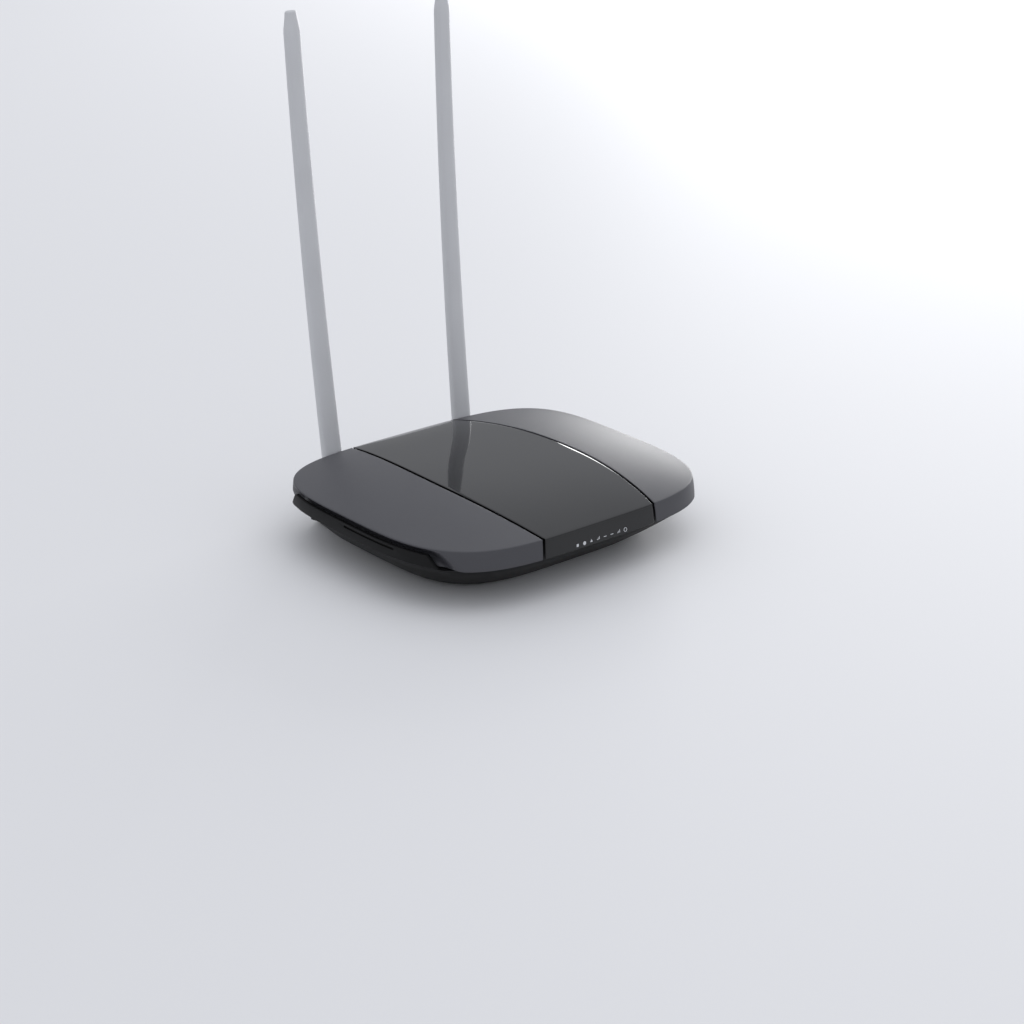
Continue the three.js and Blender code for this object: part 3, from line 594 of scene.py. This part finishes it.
def bladeShape(around, along):
    form = bladeForm
    # rows crowd towards the tip, where the end is rounded over
    share = 1 - (1 - along) ** form["crowding"]
    length = form["start"] + (form["length"] - form["start"]) * share
    end = smoothStep(1 - (form["length"] - length) / form["taper"])
    close = np.clip(1 - (form["length"] - length) / form["tipRound"], 0, 1)
    pull = form["tipRound"] * (1 - np.sqrt(1 - close ** 2))
    widths, depths = zip(form["root"], form["tip"])
    narrower, thinner = form["endDraw"]
    width = (widths[0] + (widths[1] - widths[0]) * share) * (1 - narrower * end)
    depth = (depths[0] + (depths[1] - depths[0]) * share) * (1 - thinner * end)
    angle = around * 2 * math.pi
    x = np.sign(np.cos(angle)) * np.abs(np.cos(angle)) ** form["fullness"]
    y = np.sign(np.sin(angle)) * np.abs(np.sin(angle)) ** form["fullness"]
    bow = -length * form["curve"] * length / form["length"] / 2
    return np.stack([(width / 2 - pull) * x, bow + (depth / 2 - pull) * y, length], 1)


# Where an antenna's own upright stands, leaned back on its hinge pin
def antennaTurn(sideName):
    side = -1 if sideName == "left" else 1
    joint = next(j for j in frame["joints"] if j["name"] == f"antenna_{sideName}_fold")
    splay = Matrix.Rotation(side * bladeForm["splay"], 4, "Y")
    lean = Matrix.Rotation(-bladeForm["lean"], 4, "X")
    return Matrix.Translation(Vector(joint["pos_m"])) @ splay @ lean


blade = shapedGrid("blade", bladeForm["around"], bladeForm["rows"], bladeShape)
inEditMode(blade, lambda: bpy.ops.mesh.fill_holes(sides=0))
turnOutwards(blade)
roundEdges(blade, 0.3 * mm, 3, 50)
for sideName in ("left", "right"):
    sleeve = copyOf(blade, f"antennaSleeve_{sideName}", antennaTurn(sideName))
    finishPiece(sleeve, f"antenna_{sideName}_blade", "antenna_grey", finishes["antenna_grey"],
                f"antenna_{sideName}_sleeve", smoothAngle=50)
bpy.data.objects.remove(blade)
print("antenna sleeves done")


# Pieces that keep the frame's form, with their edges rounded

edgeForm = {
    "bottom_case": ("casing", "matt_black", 0.22),
    "rear_panel": ("casing", "matt_black", 0.2),
    "lan_jacks": ("casing", "socket_yellow", 0.18),
    "wan_jack": ("casing", "socket_blue", 0.18),
    "power_jack": ("casing", "chip_black", 0.25),
    "power_jack_pin": ("casing", "steel", 0.25),
    "power_button": ("power_button", "button_grey", 0.35),
    "reset_button": ("reset_button", "button_grey", 0.35),
    "label_plate": ("casing", "label_silver", 0.08),
    "foot_front_left": ("casing", "rubber", 0.5),
    "foot_front_right": ("casing", "rubber", 0.5),
    "foot_rear_left": ("casing", "rubber", 0.5),
    "foot_rear_right": ("casing", "rubber", 0.5),
    "case_screw_front_left": ("casing", "steel", 0.15),
    "case_screw_front_right": ("casing", "steel", 0.15),
    "case_screw_rear_left": ("casing", "steel", 0.15),
    "case_screw_rear_right": ("casing", "steel", 0.15),
    "antenna_left_swivel": ("antenna_left_base", "hinge_grey", 0.35),
    "antenna_right_swivel": ("antenna_right_base", "hinge_grey", 0.35),
    "antenna_left_knuckle": ("antenna_left_blade", "hinge_grey", 0.3),
    "antenna_right_knuckle": ("antenna_right_blade", "hinge_grey", 0.3),
    "antenna_left_pin": ("antenna_left_base", "steel", 0.2),
    "antenna_right_pin": ("antenna_right_base", "steel", 0.2),
}


def camelName(name):
    first, *others = name.split("_")
    return first + "".join(word.title() for word in others)


for name, (body, slotName, edge) in edgeForm.items():
    piece = copyOf(nodes[name], camelName(name) + "Fine")
    mergePoints(piece)
    inEditMode(piece, lambda: bpy.ops.mesh.dissolve_limited(angle_limit=math.radians(0.5)))
    modify(piece, "BEVEL", width=edge * mm, segments=2, limit_method="ANGLE",
           angle_limit=math.radians(42), use_clamp_overlap=True)
    finishPiece(piece, body, slotName, finishes[slotName], name, smoothAngle=38)
print("rounded pieces done:", len(edgeForm))


# Spring contacts in the network sockets: one bent wire, eight to a socket

contactForm = {"pitch": 1.02, "count": 8, "width": 0.46, "thickness": 0.25, "depth": 12.2,
               "top": 2.7, "dip": -0.6, "run": 8.5}


def contactShape(across, along):
    form = contactForm
    bend = smoothStep((along - 0.12) / 0.7)
    height = form["top"] + (form["dip"] - form["top"]) * bend
    y = -form["depth"] + form["run"] * (1 - along)
    return np.stack([(across - 0.5) * form["width"], y, height], 1)


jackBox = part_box("lan_jacks")
socketHeight = next(m["pos_m"][2] for m in frame["record"]["mounts"]
                    if m["name"] == "network_socket_face")
ports = [(opening["box_m"][0][0] + opening["box_m"][1][0]) / 2
         for opening in frame["record"]["physics"]["openings"]
         if opening["holds"] == "a network plug"]
contact = shapedGrid("contact", 2, 18, contactShape)
modify(contact, "SOLIDIFY", thickness=contactForm["thickness"] * mm, offset=0)
turnOutwards(contact)
wires = []
for port in ports:
    for index in range(contactForm["count"]):
        x = port + (index - (contactForm["count"] - 1) / 2) * contactForm["pitch"] * mm
        place = Matrix.Translation(Vector((x, jackBox[1].y, socketHeight)))
        wires.append(copyOf(contact, f"contact{len(wires)}", place))
bpy.data.objects.remove(contact)
contacts = join("socketContacts", wires)
finishPiece(contacts, "casing", "brass", finishes["brass"], smoothAngle=50)
print("contacts done:", len(wires))


# The lamps show through printed windows: plain shapes only

markForm = {"count": 8, "pitch": 4.5, "rise": 1.9, "size": 0.95, "lift": 0.02,
            "thickness": 0.06, "ringLine": 0.17, "barWidth": 0.34, "barStep": 0.75,
            "lineShape": (1.4, 0.25, 1)}
lampXs = [(index - (markForm["count"] - 1) / 2) * markForm["pitch"]
          for index in range(markForm["count"])]


def bandPlace(x, rise):
    y = float(edgeAt(x, -1))
    shares = x / half, y / bodyForm["frontReach"], rise / bodyForm["bandHeight"]
    point = bandPoint(*(np.array([share]) for share in shares))[0]
    return Vector(point) + Vector((0, shiftY, 0))


def addMark(x, kind):
    bpy.ops.object.select_all(action="DESELECT")
    size, flat = markForm["size"] * mm, markForm["thickness"] * mm
    if kind == "ring":
        bpy.ops.mesh.primitive_torus_add(
            major_radius=size, minor_radius=size * markForm["ringLine"],
            major_segments=32, minor_segments=6)
    elif kind == "bars":
        bars = []
        for step in (-1, 0, 1):
            bpy.ops.mesh.primitive_cube_add(
                size=1, location=(step * size * markForm["barStep"], step * size * 0.3, 0),
                scale=(size * markForm["barWidth"], size * (1.1 + 0.5 * step), flat))
            bars.append(bpy.context.object)
        selectOnly(*bars)
        bpy.ops.object.join()
    else:
        sides = {"dot": 24, "square": 4, "wedge": 3, "line": 4}[kind]
        bpy.ops.mesh.primitive_cylinder_add(vertices=sides, radius=size, depth=flat,
                                            rotation=(0, 0, math.pi / 4 if sides == 4 else 0))
    mark = bpy.context.object
    if kind == "line":
        bpy.ops.object.transform_apply(rotation=True)
        mark.scale = markForm["lineShape"]
    selectOnly(mark)
    bpy.ops.object.transform_apply(location=True, rotation=True, scale=True)
    low, high = bandPlace(x, markForm["rise"] - 1), bandPlace(x, markForm["rise"] + 1)
    left, right = bandPlace(x - 1, markForm["rise"]), bandPlace(x + 1, markForm["rise"])
    across, up = (right - left).normalized(), (high - low).normalized()
    out = across.cross(up)
    turn = Matrix((across, up, out)).transposed().to_4x4()
    place = bandPlace(x, markForm["rise"]) + out * markForm["lift"]
    mark.data.transform(Matrix.Translation(place * mm) @ turn)
    return mark


markKinds = ["square", "dot", "wedge", "bars", "line", "line", "bars", "ring"]
marks = [addMark(x, kind) for x, kind in zip(lampXs, markKinds)]
lampMarks = join("lampMarks", marks)
roundEdges(lampMarks, 0.01 * mm, 1)
finishPiece(lampMarks, "casing", "label_silver", finishes["mark_white"], smoothAngle=40)
print("marks done")


# The camera

cameraForm = {"focal": 2400, "yaw": 42.2, "elevation": 22.63, "roll": 1.7, "distance": 1228,
              "right": -7.9, "up": -9.8, "sensor": 36, "imageWidth": 1024}


def addCamera():
    form = cameraForm
    yaw, pitch, roll = (math.radians(form[key]) for key in ("yaw", "elevation", "roll"))
    ahead = Vector((math.sin(yaw), math.cos(yaw), 0))
    forward = math.cos(pitch) * ahead - math.sin(pitch) * Vector((0, 0, 1))
    level = Vector((math.cos(yaw), -math.sin(yaw), 0))
    above = level.cross(forward)
    right = math.cos(roll) * level + math.sin(roll) * above
    up = -math.sin(roll) * level + math.cos(roll) * above
    aim = Vector((0, shiftY, 0))
    place = aim - form["distance"] * forward - form["right"] * right - form["up"] * up
    data = bpy.data.cameras.new("camera")
    data.sensor_width = form["sensor"]
    data.lens = form["focal"] * form["sensor"] / form["imageWidth"]
    data.clip_start, data.clip_end = 0.01, 100
    camera = bpy.data.objects.new("camera", data)
    bpy.context.scene.collection.objects.link(camera)
    turn = Matrix((right, up, -forward)).transposed().to_4x4()
    camera.matrix_world = Matrix.Translation(place * mm) @ turn
    bpy.context.scene.camera = camera


addCamera()

bpy.ops.object.select_all(action="DESELECT")
bpy.ops.mesh.primitive_plane_add(size=40)
floor = bpy.context.object
floor.name = "floor"
floorFinish = Finish("paleFloor", 0.6, (0.74, 0.74, 0.75))
floor.data.materials.append(floorFinish.material)

studioForm = {"sky": (0.93, 0.95, 1.0, 1), "horizon": 0.42, "overhead": 0.95, "fullAt": 0.6,
              "lightDistance": 2.0, "sheen": 7.5, "sheenTurn": 66, "sheenRise": 9,
              "sheenSize": (1.3, 0.6), "top": 0.4, "topFrom": (0.3, -0.2, 1),
              "topSize": (1.4, 1.4)}

world = bpy.data.worlds.new("studio")
bpy.context.scene.world = world
world.use_nodes = True
tree = world.node_tree
background = tree.nodes["Background"]
background.inputs["Color"].default_value = studioForm["sky"]
direction = tree.nodes.new("ShaderNodeTexCoord")
parts = tree.nodes.new("ShaderNodeSeparateXYZ")
rise = tree.nodes.new("ShaderNodeMapRange")
rise.interpolation_type = "SMOOTHSTEP"
rise.inputs["From Min"].default_value = 0.0
rise.inputs["From Max"].default_value = studioForm["fullAt"]
rise.inputs["To Min"].default_value = studioForm["horizon"]
rise.inputs["To Max"].default_value = studioForm["overhead"]
tree.links.new(direction.outputs["Generated"], parts.inputs["Vector"])
tree.links.new(parts.outputs["Z"], rise.inputs["Value"])
tree.links.new(rise.outputs["Result"], background.inputs["Strength"])
bpy.context.scene.view_settings.view_transform = "Standard"


def addSoftLight(name, direction, size, radiance):
    data = bpy.data.lights.new(name, "AREA")
    data.shape = "RECTANGLE"
    data.size, data.size_y = size
    data.energy = radiance * math.pi * size[0] * size[1]
    light = bpy.data.objects.new(name, data)
    bpy.context.scene.collection.objects.link(light)
    toward = Vector(direction).normalized()
    light.location = toward * studioForm["lightDistance"]
    light.rotation_euler = (-toward).to_track_quat("-Z", "Y").to_euler()
    light.visible_camera = False


sheenTurn, sheenRise = (math.radians(studioForm[key]) for key in ("sheenTurn", "sheenRise"))
sheenFrom = math.sin(sheenTurn), math.cos(sheenTurn), math.tan(sheenRise)
addSoftLight("sheenPanel", sheenFrom, studioForm["sheenSize"], studioForm["sheen"])
addSoftLight("topPanel", studioForm["topFrom"], studioForm["topSize"], studioForm["top"])

for item in frame["record"]["subparts"]:
    node = nodes[item["node"]]
    node.data.materials.clear()
    node.data.materials.append(finishes[item["material_slot"]])
